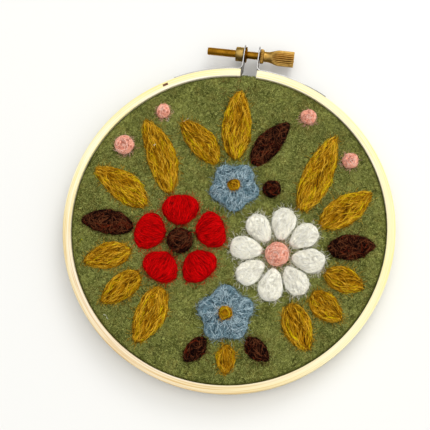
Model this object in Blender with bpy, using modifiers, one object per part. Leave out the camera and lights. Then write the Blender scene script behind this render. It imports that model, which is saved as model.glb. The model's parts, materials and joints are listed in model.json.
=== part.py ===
"""A small wooden embroidery hoop holding a disc of wool felt with a needle-felted wool posy on it.

Metres, +Z up. The hoop lies on its back with the picture facing +Z and its brass screw
towards +Y. Z = 0 is the back face of the inner ring, which the hoop rests on.
"""

import math

import bmesh
import bpy

MM = 0.001
CLEARANCE = 0.3 * MM  # left between pieces that meet

# Wooden rings: two strips of the same stock bent round, the outer one open at +Y.
RING_RADIUS = 67.0 * MM
RING_WALL = 3.3 * MM
RING_DEPTH = 8.5 * MM
RING_EASE = 0.35 * MM  # the sanded corner of the strip
RING_GAP = 6.8 * MM
OUTER_RING_STEPS = 80
INNER_RING_STEPS = 72

# Felt: a disc pulled over the front edge of the inner ring and turned down between the rings.
FELT_THICKNESS = 1.3 * MM
FELT_OUTER_TURN = 0.8 * MM  # the turned edge is pressed nearly square by the ring
FELT_INNER_TURN = 0.3 * MM
FELT_TURN_STEPS = 4
FELT_RECESS = 0.6 * MM  # the felt's face lies this far below the front of the outer ring
FELT_TRIM_HEIGHT = 1.0 * MM  # the trimmed edge ends this far above the back
FELT_STEPS = 72
FELT_RADIUS = RING_RADIUS - RING_WALL - CLEARANCE
INNER_RING_RADIUS = FELT_RADIUS - FELT_THICKNESS - CLEARANCE
FELT_UNDERSIDE = RING_DEPTH + CLEARANCE
FELT_FACE = FELT_UNDERSIDE + FELT_THICKNESS
OUTER_RING_FRONT = FELT_FACE + FELT_RECESS
OUTER_RING_BACK = OUTER_RING_FRONT - RING_DEPTH

# Steel straps: thin strips round the outside of the outer ring, bent out into lugs at the gap.
STRAP_WIDTH = 8.0 * MM
STRAP_THICKNESS = 0.4 * MM
STRAP_LEFT_REACH_DEG = 27.3  # how far a strap runs round the ring from the middle of the gap
STRAP_RIGHT_REACH_DEG = 29.3
STRAP_ARC_STEPS = 7
LUG_OFFSET = 3.1 * MM  # from the middle of the gap to the middle of the lug's thickness
LUG_BEND = 2.1 * MM
LUG_BEND_STEPS = 4
LUG_CORNER = 3.9 * MM
LUG_CORNER_STEPS = 5

# Brass screw and nut, turned on one axis that runs along X across the gap.
SCREW_STANDOFF = 8.0 * MM  # from the outer ring's outer face to the screw's axis
SCREW_Y = RING_RADIUS + SCREW_STANDOFF
SCREW_Z = OUTER_RING_BACK + RING_DEPTH / 2
TURNED_STEPS = 24
ROD_RADIUS = 1.5 * MM
ROD_END = -19.0 * MM
ROD_CHAMFER = 0.3 * MM
HEAD_START = LUG_OFFSET + STRAP_THICKNESS / 2 + CLEARANCE
HEAD_FLANGE_LENGTH = 1.7 * MM
HEAD_FLANGE_RADIUS = 3.2 * MM
HEAD_NECK_RADIUS = 2.0 * MM
HEAD_NECK_END = 6.0 * MM
FLARE_STEPS = 6
GRIP_START = 11.8 * MM
GRIP_END = 17.8 * MM
GRIP_RADIUS = 3.35 * MM
GRIP_CHAMFER = 0.35 * MM
NUT_BARREL_LENGTH = 3.2 * MM
NUT_BARREL_RADIUS = 3.0 * MM
NUT_NECK_RADIUS = 2.3 * MM
NUT_COLLAR_LENGTH = 0.4 * MM
NUT_COLLAR_RADIUS = 3.3 * MM
NUT_CHAMFER = 0.3 * MM
NUT_BORE_RADIUS = ROD_RADIUS + CLEARANCE
NUT_LUG_HOLE_RADIUS = NUT_NECK_RADIUS + CLEARANCE
SCREW_LUG_HOLE_RADIUS = ROD_RADIUS + 0.4 * MM

# The object's origin is under the middle of its whole length, so the ring's centre is off it.
LUG_TIP_Y = SCREW_Y + STRAP_WIDTH / 2
RING_CENTRE_Y = -(LUG_TIP_Y - RING_RADIUS) / 2

# The posy is upright in a direction turned this far from the screw, about the ring's centre.
PICTURE_TURN_DEG = 8.0
WOOL_BASE = FELT_FACE + CLEARANCE

# Round a long wool piece's cross-section: (share of half width, share of height).
LONG_SECTION = (
    (1.00, 0.25),
    (0.72, 0.77),
    (0.00, 1.00),
    (-0.72, 0.77),
    (-1.00, 0.25),
    (-0.92, 0.00),
    (0.00, 0.00),
    (0.92, 0.00),
)
LONG_STATIONS = 9
TIP_HEIGHT_SHARE = 0.35
PETAL_TAPER = 0.5  # the lower this power, the rounder the ends
LEAF_TAPER = 0.8

# A round wool piece from its rim up: (share of radius, share of height), between two poles.
ROUND_RINGS = ((0.92, 0.00), (1.00, 0.28), (0.82, 0.74), (0.45, 0.97))

# Blooms with separate petals: centre x, y, petals, first petal's direction, petal's inner and
# outer ends from the centre, petal width, place of the widest point, petal height, centre
# radius, centre height. Lengths in millimetres and directions in degrees.
PETALLED_BLOOMS = {
    "red": (-18.8, -6.5, 5, 90, 6.2, 19.2, 15.6, 0.58, 3.2, 5.5, 4.2),
    "white": (20.0, -12.5, 8, 78, 5.8, 19.2, 9.9, 0.60, 3.0, 5.0, 4.4),
}

# Blooms in one piece: centre x, y, radius, lobes, depth of the notches as a share of the
# radius, direction of the first lobe, height, centre radius, centre height.
LOBED_BLOOMS = {
    "blue_low": (-0.5, -36.0, 11.5, 5, 0.26, 90, 2.8, 3.0, 1.8),
    "blue_high": (3.0, 15.5, 10.5, 5, 0.26, 54, 2.6, 2.7, 1.7),
}

# Leaves fan out round each bloom: the fan's centre x, y and the radius where its leaves start,
# then a row for each leaf: name, place round the bloom, turn away from that direction, length,
# width and height.
LEAF_FANS = (
    (-18.8, -6.5, 20.0, (
        ("leaf_left_1", 102, 8, 34.0, 12.5, 2.5),
        ("leaf_left_2", 135, 6, 27.3, 12.5, 2.4),
        ("leaf_left_3", 164, 6, 21.8, 10.5, 2.4),
        ("leaf_left_4", 191, 2, 19.8, 11.0, 2.2),
        ("leaf_left_5", 219, -2, 20.4, 11.0, 2.4),
        ("leaf_left_6", 249, -4, 24.4, 12.5, 2.5),
    )),
    (20.0, -12.5, 20.0, (
        ("leaf_right_1", 62, 2, 34.0, 12.5, 2.5),
        ("leaf_right_2", 33, 0, 25.7, 12.5, 2.4),
        ("leaf_right_3", 5, 0, 19.1, 10.5, 2.4),
        ("leaf_right_4", 338, 0, 16.2, 10.5, 2.2),
        ("leaf_right_5", 311, 4, 16.5, 11.0, 2.2),
        ("leaf_right_6", 284, 6, 19.8, 12.0, 2.4),
    )),
    (3.0, 15.5, 11.4, (
        ("leaf_top_1", 124, 4, 25.0, 11.5, 2.4),
        ("leaf_top_2", 88, -2, 30.0, 12.5, 2.5),
        ("leaf_top_3", 52, -4, 24.0, 10.5, 2.4),
    )),
    (-0.5, -36.0, 12.0, (
        ("leaf_low_1", 230, -4, 13.0, 8.0, 2.0),
        ("leaf_low_2", 270, 0, 11.6, 8.0, 2.0),
        ("leaf_low_3", 310, 4, 13.0, 8.0, 2.0),
    )),
)
LEAF_FULLEST = 0.45  # share of the length where a leaf is widest
LEAF_SWEEP = 1 / 150  # sideways bow, as a share of the length for each degree of turn
BROWN_LEAVES = ("leaf_left_3", "leaf_right_3", "leaf_top_3", "leaf_low_1", "leaf_low_3")

# Loose buds and seed heads: x, y, radius, height.
BUDS = {
    "bud_left": (-42.5, 34.0, 4.2, 3.4),
    "bud_top_left": (-26.5, 48.5, 3.2, 2.8),
    "bud_top_right": (33.5, 44.5, 3.4, 3.0),
    "bud_right": (50.0, 25.5, 3.4, 3.0),
    "seed_head": (18.2, 14.2, 3.8, 3.6),
}
BUD_SEGMENTS = 10
CENTRE_SEGMENTS = 14
LOBE_SEGMENTS = 4

COLOURS = {
    "wood": (0.90, 0.80, 0.58),
    "felt": (0.14, 0.16, 0.05),
    "steel": (0.62, 0.62, 0.60),
    "brass": (0.66, 0.42, 0.12),
    "mustard": (0.48, 0.25, 0.02),
    "brown": (0.07, 0.016, 0.012),
    "red": (0.58, 0.008, 0.008),
    "white": (0.78, 0.75, 0.67),
    "blue": (0.17, 0.32, 0.42),
    "pink": (0.66, 0.26, 0.20),
}
METALS = ("steel", "brass")


def clear_scene():
    for old in list(bpy.data.objects):
        bpy.data.objects.remove(old, do_unlink=True)


def new_collection(name, hidden=False):
    collection = bpy.data.collections.new(name)
    bpy.context.scene.collection.children.link(collection)
    collection.hide_render = hidden
    return collection


def new_material(name, colour):
    """A Principled material of this colour for the piece of this name."""
    material = bpy.data.materials.new(name + "_finish")
    material.use_nodes = True
    shader = material.node_tree.nodes["Principled BSDF"]
    shader.inputs["Base Color"].default_value = (*COLOURS[colour], 1)
    shader.inputs["Metallic"].default_value = 1.0 if colour in METALS else 0.0
    shader.inputs["Roughness"].default_value = 0.35 if colour in METALS else 0.85
    return material


def new_piece(name, mesh, colour, parent, location=(0, 0, 0), rotation=(0, 0, 0)):
    """An object of the hoop, in its collection, with its own material."""
    piece = bpy.data.objects.new(name, mesh)
    piece.location = location
    piece.rotation_euler = rotation
    piece.parent = parent
    mesh.materials.append(new_material(name, colour))
    HOOP.objects.link(piece)
    return piece


def mesh_of(shape, name):
    """The finished mesh of a bmesh."""
    mesh = bpy.data.meshes.new(name)
    shape.to_mesh(mesh)
    shape.free()
    return mesh


def turned(name, profile, closed, steps, colour, parent, **place):
    """A shape turned about its local Z: profile rows are (radius, height), outer side down."""
    mesh = bpy.data.meshes.new(name)
    last = len(profile) - 1
    edges = [(i, i + 1) for i in range(last)] + ([(last, 0)] if closed else [])
    mesh.from_pydata([(radius, 0, height) for radius, height in profile], edges, [])
    piece = new_piece(name, mesh, colour, parent, **place)
    screw = piece.modifiers.new("turn", "SCREW")
    screw.axis = "Z"
    screw.steps = steps
    screw.render_steps = steps
    screw.use_merge_vertices = True
    screw.merge_threshold = 0.00001
    return piece


def new_cutter(name, primitive, size, parent, location, rotation=(0, 0, 0)):
    """A hidden box or cylinder that a Boolean takes away; size is its full size along X, Y, Z."""
    shape = bmesh.new()
    if primitive == "box":
        bmesh.ops.create_cube(shape, size=1)
    else:
        bmesh.ops.create_cone(
            shape, cap_ends=True, segments=TURNED_STEPS, radius1=0.5, radius2=0.5, depth=1
        )
    bmesh.ops.scale(shape, vec=size, verts=shape.verts)
    cutter = bpy.data.objects.new(name, mesh_of(shape, name))
    cutter.location = location
    cutter.rotation_euler = rotation
    cutter.parent = parent
    cutter.hide_render = True
    cutter.display_type = "WIRE"
    CUTTERS.objects.link(cutter)
    return cutter


def cut(piece, cutter):
    boolean = piece.modifiers.new(cutter.name, "BOOLEAN")
    boolean.operation = "DIFFERENCE"
    boolean.solver = "EXACT"
    boolean.object = cutter


def strip_profile(outer_radius, back, front, ease):
    """The section of a wooden strip with eased corners, outer side down, as a closed loop."""
    inner_radius = outer_radius - RING_WALL
    return [
        (outer_radius, front - ease),
        (outer_radius, back + ease),
        (outer_radius - ease, back),
        (inner_radius + ease, back),
        (inner_radius, back + ease),
        (inner_radius, front - ease),
        (inner_radius + ease, front),
        (outer_radius - ease, front),
    ]


def make_rings(centre):
    """The outer ring, cut open at the screw, and the whole inner ring."""
    outer = turned(
        "outer_ring",
        strip_profile(RING_RADIUS, OUTER_RING_BACK, OUTER_RING_FRONT, RING_EASE),
        True, OUTER_RING_STEPS, "wood", centre,
    )
    gap = new_cutter(
        "ring_gap", "box", (RING_GAP, 4 * RING_WALL, 3 * RING_DEPTH), centre,
        location=(0, RING_RADIUS - RING_WALL / 2, (OUTER_RING_BACK + OUTER_RING_FRONT) / 2),
    )
    cut(outer, gap)
    turned(
        "inner_ring", strip_profile(INNER_RING_RADIUS, 0, RING_DEPTH, RING_EASE),
        True, INNER_RING_STEPS, "wood", centre,
    )


def make_felt(centre):
    """The felt disc with its edge turned down between the rings."""
    def turned_edge(wall_radius, face_height, turn, sign):
        """Points round the corner between a wall and a face, from the wall up."""
        angles = [math.pi / 2 * step / FELT_TURN_STEPS for step in range(FELT_TURN_STEPS + 1)]
        return [
            (wall_radius - turn * (1 - math.cos(angle)),
             face_height - turn * (1 - math.sin(angle)))
            for angle in angles[::sign]
        ]

    outside = turned_edge(FELT_RADIUS, FELT_FACE, FELT_OUTER_TURN, -1)
    inside = turned_edge(FELT_RADIUS - FELT_THICKNESS, FELT_UNDERSIDE, FELT_INNER_TURN, 1)
    profile = (
        [(0, FELT_FACE)]
        + outside
        + [(FELT_RADIUS, FELT_TRIM_HEIGHT), (FELT_RADIUS - FELT_THICKNESS, FELT_TRIM_HEIGHT)]
        + inside
        + [(0, FELT_UNDERSIDE)]
    )
    turned("felt_ground", profile, False, FELT_STEPS, "felt", centre)


def strap_path(side):
    """Middle of the strap's thickness, seen from the front: round the ring, then out to the tip."""
    radius = RING_RADIUS + CLEARANCE + STRAP_THICKNESS / 2
    corner_y = math.sqrt(radius**2 - LUG_OFFSET**2)
    bend_angle = (LUG_OFFSET + LUG_BEND) / radius
    reach = math.radians(STRAP_RIGHT_REACH_DEG if side > 0 else STRAP_LEFT_REACH_DEG)
    angles = [
        reach + (bend_angle - reach) * step / STRAP_ARC_STEPS
        for step in range(STRAP_ARC_STEPS + 1)
    ]
    path = [(radius * math.sin(angle), radius * math.cos(angle)) for angle in angles]
    start_x, start_y = path[-1]
    for step in range(1, LUG_BEND_STEPS + 1):
        t = step / LUG_BEND_STEPS
        before, at, after = (1 - t) ** 2, 2 * t * (1 - t), t**2
        path.append((
            before * start_x + (at + after) * LUG_OFFSET,
            before * start_y + at * corner_y + after * (corner_y + LUG_BEND),
        ))
    path.append((LUG_OFFSET, LUG_TIP_Y))
    return [(side * x, y) for x, y in path]


def make_strap(name, side, hole_radius, centre):
    """One strap: a bent strip, rounded at the lug's end, with the screw's hole through it."""
    shape = bmesh.new()
    low, high = SCREW_Z - STRAP_WIDTH / 2, SCREW_Z + STRAP_WIDTH / 2
    points = [shape.verts.new((x, y, low)) for x, y in strap_path(side)]
    edges = [shape.edges.new(pair) for pair in zip(points, points[1:])]
    grown = bmesh.ops.extrude_edge_only(shape, edges=edges)["geom"]
    raised = [item for item in grown if isinstance(item, bmesh.types.BMVert)]
    bmesh.ops.translate(shape, vec=(0, 0, high - low), verts=raised)
    tip = [vert for vert in shape.verts if vert.co.y > LUG_TIP_Y - CLEARANCE]
    bmesh.ops.bevel(
        shape, geom=tip, offset=LUG_CORNER, segments=LUG_CORNER_STEPS,
        profile=0.5, affect="VERTICES",
    )
    bmesh.ops.recalc_face_normals(shape, faces=shape.faces)
    strap = new_piece(name, mesh_of(shape, name), "steel", centre)
    thickness = strap.modifiers.new("sheet", "SOLIDIFY")
    thickness.thickness = STRAP_THICKNESS
    thickness.offset = 0
    hole = new_cutter(
        name + "_hole", "cylinder", (2 * hole_radius, 2 * hole_radius, 4 * MM), centre,
        location=(side * LUG_OFFSET, SCREW_Y, SCREW_Z), rotation=(0, math.pi / 2, 0),
    )
    cut(strap, hole)


def head_flare():
    """Down the screw's head from the grip to the neck, as a slow S-curve."""
    points = []
    for step in range(FLARE_STEPS + 1):
        along = 1 - step / FLARE_STEPS
        swell = along**2 * (3 - 2 * along)
        points.append((
            HEAD_NECK_RADIUS + (GRIP_RADIUS - HEAD_NECK_RADIUS) * swell,
            HEAD_NECK_END + (GRIP_START - HEAD_NECK_END) * along,
        ))
    return points


def make_screw_and_nut(centre):
    """The nut held in the left lug, and the thumb screw that turns in it, both turned from brass."""
    axis = bpy.data.objects.new("screw_axis", None)
    axis.location = (0, SCREW_Y, SCREW_Z)
    axis.rotation_euler = (0, math.pi / 2, 0)  # local Z points along +X
    axis.parent = centre
    HOOP.objects.link(axis)

    flange_end = HEAD_START + HEAD_FLANGE_LENGTH
    turned(
        "thumb_screw",
        [
            (0, GRIP_END),
            (GRIP_RADIUS - GRIP_CHAMFER, GRIP_END),
            (GRIP_RADIUS, GRIP_END - GRIP_CHAMFER),
            *head_flare(),
            (HEAD_NECK_RADIUS, flange_end),
            (HEAD_FLANGE_RADIUS, flange_end),
            (HEAD_FLANGE_RADIUS, HEAD_START),
            (ROD_RADIUS, HEAD_START),
            (ROD_RADIUS, ROD_END + ROD_CHAMFER),
            (ROD_RADIUS - ROD_CHAMFER, ROD_END),
            (0, ROD_END),
        ],
        False, TURNED_STEPS, "brass", axis,
    )

    lug_outside = -(LUG_OFFSET + STRAP_THICKNESS / 2 + CLEARANCE)
    lug_inside = -(LUG_OFFSET - STRAP_THICKNESS / 2 - CLEARANCE)
    collar_end = lug_inside + NUT_COLLAR_LENGTH
    barrel_end = lug_outside - NUT_BARREL_LENGTH
    turned(
        "nut",
        [
            (NUT_COLLAR_RADIUS, collar_end),
            (NUT_COLLAR_RADIUS, lug_inside),
            (NUT_NECK_RADIUS, lug_inside),
            (NUT_NECK_RADIUS, lug_outside),
            (NUT_BARREL_RADIUS, lug_outside),
            (NUT_BARREL_RADIUS, barrel_end + NUT_CHAMFER),
            (NUT_BARREL_RADIUS - NUT_CHAMFER, barrel_end),
            (NUT_BORE_RADIUS, barrel_end),
            (NUT_BORE_RADIUS, collar_end),
        ],
        True, TURNED_STEPS, "brass", axis,
    )


def long_wool(
    name, x, y, direction, length, width, height, fullest, taper, sweep, colour, picture
):
    """A leaf or petal: a tapered pad, flat below, laid from x, y. Lengths in mm, angle in degrees."""
    shape = bmesh.new()
    bmesh.ops.create_uvsphere(
        shape, u_segments=len(LONG_SECTION), v_segments=LONG_STATIONS, radius=1
    )
    power = math.log(0.5) / math.log(fullest)
    for vert in shape.verts:
        around = math.atan2(vert.co.y, vert.co.x) / (2 * math.pi) * len(LONG_SECTION)
        along = math.acos(max(-1, min(1, -vert.co.z))) / math.pi
        is_tip = math.hypot(vert.co.x, vert.co.y) < 0.01
        section_row = LONG_SECTION[round(around) % len(LONG_SECTION)]
        across, rise = (0, TIP_HEIGHT_SHARE) if is_tip else section_row
        fill = 0 if is_tip else math.sin(math.pi * along**power) ** taper
        bow = sweep * length * math.sin(math.pi * along)
        lift = rise * height * (TIP_HEIGHT_SHARE + (1 - TIP_HEIGHT_SHARE) * fill)
        vert.co = (along * length * MM, (bow + across * fill * width / 2) * MM, lift * MM)
    new_piece(
        name, mesh_of(shape, name), colour, picture,
        location=(x * MM, y * MM, WOOL_BASE), rotation=(0, 0, math.radians(direction)),
    )


def round_wool(name, x, y, height, segments, radius_at, colour, picture, base=WOOL_BASE):
    """A domed pad, flat below, whose outline is radius_at(angle). Lengths in mm."""
    shape = bmesh.new()
    bmesh.ops.create_uvsphere(
        shape, u_segments=segments, v_segments=len(ROUND_RINGS) + 1, radius=1
    )
    for vert in shape.verts:
        level = round(math.acos(max(-1, min(1, -vert.co.z))) / math.pi * (len(ROUND_RINGS) + 1))
        if level == 0:
            reach, rise = 0, 0
        elif level > len(ROUND_RINGS):
            reach, rise = 0, 1
        else:
            reach, rise = ROUND_RINGS[level - 1]
        angle = math.atan2(vert.co.y, vert.co.x)
        out = reach * radius_at(angle) * MM
        vert.co = (out * math.cos(angle), out * math.sin(angle), rise * height * MM)
    new_piece(
        name, mesh_of(shape, name), colour, picture, location=(x * MM, y * MM, base)
    )


def make_petalled_bloom(name, row, centre_colour, picture):
    """A bloom of separate petals laid round a domed centre."""
    (x, y, petals, first, inner, outer, width, fullest, height,
     centre_radius, centre_height) = row
    for number in range(petals):
        direction = first + 360 / petals * number
        toward = math.radians(direction)
        long_wool(
            f"{name}_petal_{number + 1}",
            x + inner * math.cos(toward), y + inner * math.sin(toward), direction,
            outer - inner, width, height, fullest, PETAL_TAPER, 0, name, picture,
        )
    round_wool(
        name + "_centre", x, y, centre_height, CENTRE_SEGMENTS,
        lambda angle: centre_radius, centre_colour, picture,
    )


def make_lobed_bloom(name, row, picture):
    """A bloom needled in one piece, with a small centre on top of it."""
    x, y, radius, lobes, notch, first, height, centre_radius, centre_height = row

    def lobed_radius(angle):
        swing = abs(math.cos(lobes * (angle - math.radians(first)) / 2)) ** 0.7
        return radius * (1 - notch * (1 - swing))

    round_wool(
        name + "_bloom", x, y, height, lobes * LOBE_SEGMENTS, lobed_radius, "blue", picture
    )
    round_wool(
        name + "_centre", x, y, centre_height, BUD_SEGMENTS, lambda angle: centre_radius,
        "mustard", picture, base=WOOL_BASE + height * MM + CLEARANCE,
    )


def make_leaves(picture):
    """Leaves laid round the blooms, most of them mustard and a few brown."""
    for x, y, start, rows in LEAF_FANS:
        for name, place, turn, length, width, height in rows:
            toward = math.radians(place)
            long_wool(
                name, x + start * math.cos(toward), y + start * math.sin(toward), place + turn,
                length, width, height, LEAF_FULLEST, LEAF_TAPER, -turn * LEAF_SWEEP,
                "brown" if name in BROWN_LEAVES else "mustard", picture,
            )


def make_buds(picture):
    for name, (x, y, radius, height) in BUDS.items():
        round_wool(
            name, x, y, height, BUD_SEGMENTS, lambda angle, radius=radius: radius,
            "brown" if name == "seed_head" else "pink", picture,
        )


def make_posy(centre):
    """Every wool piece, on an empty that turns the picture upright."""
    picture = bpy.data.objects.new("picture", None)
    picture.rotation_euler = (0, 0, math.radians(PICTURE_TURN_DEG))
    picture.parent = centre
    HOOP.objects.link(picture)
    make_petalled_bloom("red", PETALLED_BLOOMS["red"], "brown", picture)
    make_petalled_bloom("white", PETALLED_BLOOMS["white"], "pink", picture)
    for name, row in LOBED_BLOOMS.items():
        make_lobed_bloom(name, row, picture)
    make_leaves(picture)
    make_buds(picture)


def shade_round_pieces():
    for piece in HOOP.objects:
        if piece.type == "MESH" and piece.data.polygons:
            piece.data.shade_smooth()
            piece.data.set_sharp_from_angle(angle=math.radians(35))


clear_scene()
HOOP = new_collection("embroidery_hoop_picture")
CUTTERS = new_collection("cutters", hidden=True)
RING_CENTRE = bpy.data.objects.new("ring_centre", None)
RING_CENTRE.location = (0, RING_CENTRE_Y, 0)
HOOP.objects.link(RING_CENTRE)
make_rings(RING_CENTRE)
make_felt(RING_CENTRE)
make_strap("strap_left", -1, NUT_LUG_HOLE_RADIUS, RING_CENTRE)
make_strap("strap_right", 1, SCREW_LUG_HOLE_RADIUS, RING_CENTRE)
make_screw_and_nut(RING_CENTRE)
make_posy(RING_CENTRE)
shade_round_pieces()
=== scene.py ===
import json
import math
from collections import namedtuple

import bpy
import numpy as np
from mathutils import Matrix, Vector, noise
from mathutils.bvhtree import BVHTree


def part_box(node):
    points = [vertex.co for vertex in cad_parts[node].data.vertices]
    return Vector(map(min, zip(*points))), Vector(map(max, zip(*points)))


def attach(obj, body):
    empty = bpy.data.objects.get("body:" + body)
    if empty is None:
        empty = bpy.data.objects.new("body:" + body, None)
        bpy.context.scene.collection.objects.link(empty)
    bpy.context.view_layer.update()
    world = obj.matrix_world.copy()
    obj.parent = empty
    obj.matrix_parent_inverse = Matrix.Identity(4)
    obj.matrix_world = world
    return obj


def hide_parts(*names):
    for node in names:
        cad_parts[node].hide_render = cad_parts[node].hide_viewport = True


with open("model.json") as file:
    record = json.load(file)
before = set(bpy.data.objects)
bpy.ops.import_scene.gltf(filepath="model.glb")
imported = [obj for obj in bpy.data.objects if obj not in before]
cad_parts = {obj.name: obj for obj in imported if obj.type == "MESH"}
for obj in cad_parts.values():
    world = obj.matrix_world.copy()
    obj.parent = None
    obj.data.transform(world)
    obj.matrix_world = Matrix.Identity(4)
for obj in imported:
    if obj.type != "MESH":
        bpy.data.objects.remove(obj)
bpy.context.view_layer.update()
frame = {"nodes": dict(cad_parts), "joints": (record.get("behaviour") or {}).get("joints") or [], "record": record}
bpy.ops.object.select_all(action="DESELECT")

# The camera looks down on the hoop from a little to its lower right, turned a few degrees, as
# a phone held over a table does. Its target lies on the outer ring's front plane.
MM = 0.001
outer_low, outer_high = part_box("outer_ring")
inner_low, inner_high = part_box("inner_ring")
HOOP_Y = (inner_low.y + inner_high.y) / 2  # the rings' centre; its X is 0
VIEW_TARGET = Vector((-5.28 * MM, HOOP_Y + 3.11 * MM, outer_high.z))
VIEW_DISTANCE = 350 * MM
VIEW_AZIMUTH = math.radians(295.28)  # from +X, anticlockwise
VIEW_TILT = math.radians(13.83)  # from straight above
VIEW_ROLL = math.radians(8.37)
VIEW_ANGLE = math.radians(27.83)


def added(name, data):
    """A new object of the scene that holds this data."""
    piece = bpy.data.objects.new(name, data)
    bpy.context.scene.collection.objects.link(piece)
    return piece


to_camera = Vector((
    math.sin(VIEW_TILT) * math.cos(VIEW_AZIMUTH),
    math.sin(VIEW_TILT) * math.sin(VIEW_AZIMUTH),
    math.cos(VIEW_TILT),
))
view_right = Vector((0, 1, 0)).cross(to_camera).normalized()
view_up = to_camera.cross(view_right)
view_axes = Matrix((view_right, view_up, to_camera)).transposed()
view_turn = (view_axes @ Matrix.Rotation(VIEW_ROLL, 3, "Z")).to_4x4()
camera_data = bpy.data.cameras.new("camera")
camera_data.angle = VIEW_ANGLE
camera_data.clip_start = 10 * MM
camera = added("camera", camera_data)
camera.matrix_world = Matrix.Translation(VIEW_TARGET + VIEW_DISTANCE * to_camera) @ view_turn
bpy.context.scene.camera = camera

# A plain white table in a light room. The sky is brightest overhead and fades to pale walls
# round it, more of it comes from the right, and a large window beyond the screw adds its light,
# so that soft shadows fall towards the lower left and gather round the screw.
TABLE_COLOUR = (0.74, 0.735, 0.70, 1)
SKY_COLOUR = (0.99, 0.99, 1.0, 1)
SKY_OVERHEAD = 1.56
SKY_RIGHT = 0.88
RIGHT = (0.765, 0.235, 0.6)
SKY_WALLS = 0.36  # it is never less bright than this
WINDOW_PLACE = (0.20, 0.57, 0.60)
WINDOW_SIZE = 0.42
WINDOW_POWER = 1.70


def put(tree, kind, inputs=(), **settings):
    """A new shader node; inputs gives values, or sockets to link, by name or number."""
    node = tree.nodes.new("ShaderNode" + kind)
    for key, value in settings.items():
        setattr(node, key, value)
    for key, value in dict(inputs).items():
        if isinstance(value, bpy.types.NodeSocket):
            tree.links.new(value, node.inputs[key])
        else:
            node.inputs[key].default_value = value
    return node


class Finish:
    """A material in the making, its Principled sockets set by name. Methods return sockets."""

    def __init__(self, name, roughness, **sockets):
        self.material = bpy.data.materials.new(name)
        self.material.use_nodes = True
        self.tree = self.material.node_tree
        self.shader = self.tree.nodes["Principled BSDF"]
        for key, value in dict(sockets, Roughness=roughness).items():
            self.shader.inputs[key.replace("_", " ")].default_value = value

    def put(self, kind, inputs=(), **settings):
        return put(self.tree, kind, inputs, **settings)

    def place(self):
        """The place on the piece, in its own coordinates."""
        return self.put("TexCoord").outputs["Object"]

    def parts(self, vector):
        return self.put("SeparateXYZ", {0: vector}).outputs

    def joined(self, *parts):
        return self.put("CombineXYZ", enumerate(parts)).outputs[0]

    def attribute(self, name):
        """The number that set_shade keeps under this name."""
        return self.put("Attribute", attribute_name=name).outputs["Fac"]

    def calc(self, operation, first, second=0.0):
        return self.put("Math", {0: first, 1: second}, operation=operation).outputs[0]

    def vector(self, operation, *inputs, output="Vector"):
        return self.put("VectorMath", enumerate(inputs), operation=operation).outputs[output]

    def ranged(self, value, low, high, to_low=0.0, to_high=1.0):
        """The value, from low to high, brought smoothly to the other range."""
        return self.put("MapRange", {0: value, 1: low, 2: high, 3: to_low, 4: to_high},
                        interpolation_type="SMOOTHSTEP").outputs[0]

    def noise(self, place, scale, detail=2.0, roughness=0.6, distortion=0.0):
        return self.put("TexNoise", {
            "Vector": place, "Scale": scale, "Detail": detail, "Roughness": roughness,
            "Distortion": distortion,
        }).outputs["Fac"]

    def layered(self, colour, *layers):
        """The colour with others mixed over it in turn, each as (how much, colour)."""
        for share, other in layers:
            colour = self.put("Mix", {0: share, 6: colour, 7: other}, data_type="RGBA").outputs[2]
        return colour

    def feed(self, name, socket):
        self.tree.links.new(socket, self.shader.inputs[name])

    def done(self, colour, height, strength, distance):
        """The material, with this colour and bumps of this height."""
        self.feed("Base Color", colour)
        bump = self.put("Bump", {"Height": height, "Strength": strength, "Distance": distance})
        self.feed("Normal", bump.outputs[0])
        return self.material


bpy.ops.mesh.primitive_plane_add(size=6, location=(0, 0, 0))
table = bpy.context.object
table.name = "table"
table.data.materials.append(Finish("table_white", 0.6, Base_Color=TABLE_COLOUR).material)
table.select_set(False)

world = bpy.data.worlds.new("sky")
world.use_nodes = True
sky_tree = world.node_tree
sky = sky_tree.nodes["Background"]
sky.inputs["Color"].default_value = SKY_COLOUR
direction = put(sky_tree, "TexCoord").outputs["Generated"]
height = put(sky_tree, "SeparateXYZ", {0: direction}).outputs["Z"]
overhead = put(sky_tree, "Math", {0: height, 1: height}, operation="MULTIPLY").outputs[0]
toward = put(sky_tree, "VectorMath", {0: direction, 1: RIGHT}, operation="DOT_PRODUCT")
right_part = put(sky_tree, "Math", {0: toward.outputs["Value"], 1: SKY_RIGHT},
                 operation="MULTIPLY", use_clamp=True).outputs[0]
strength = put(sky_tree, "Math", {0: overhead, 1: SKY_OVERHEAD, 2: right_part},
               operation="MULTIPLY_ADD").outputs[0]
strength = put(sky_tree, "Math", {0: strength, 1: SKY_WALLS}, operation="MAXIMUM").outputs[0]
sky_tree.links.new(strength, sky.inputs["Strength"])
bpy.context.scene.world = world
bpy.context.scene.view_settings.view_transform = "Standard"

window_data = bpy.data.lights.new("window", "AREA")
window_data.shape = "DISK"
window_data.size = WINDOW_SIZE
window_data.energy = WINDOW_POWER
window = added("window", window_data)
window.location = WINDOW_PLACE
window.rotation_euler = (-Vector(WINDOW_PLACE)).to_track_quat("-Z", "Y").to_euler()

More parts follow.
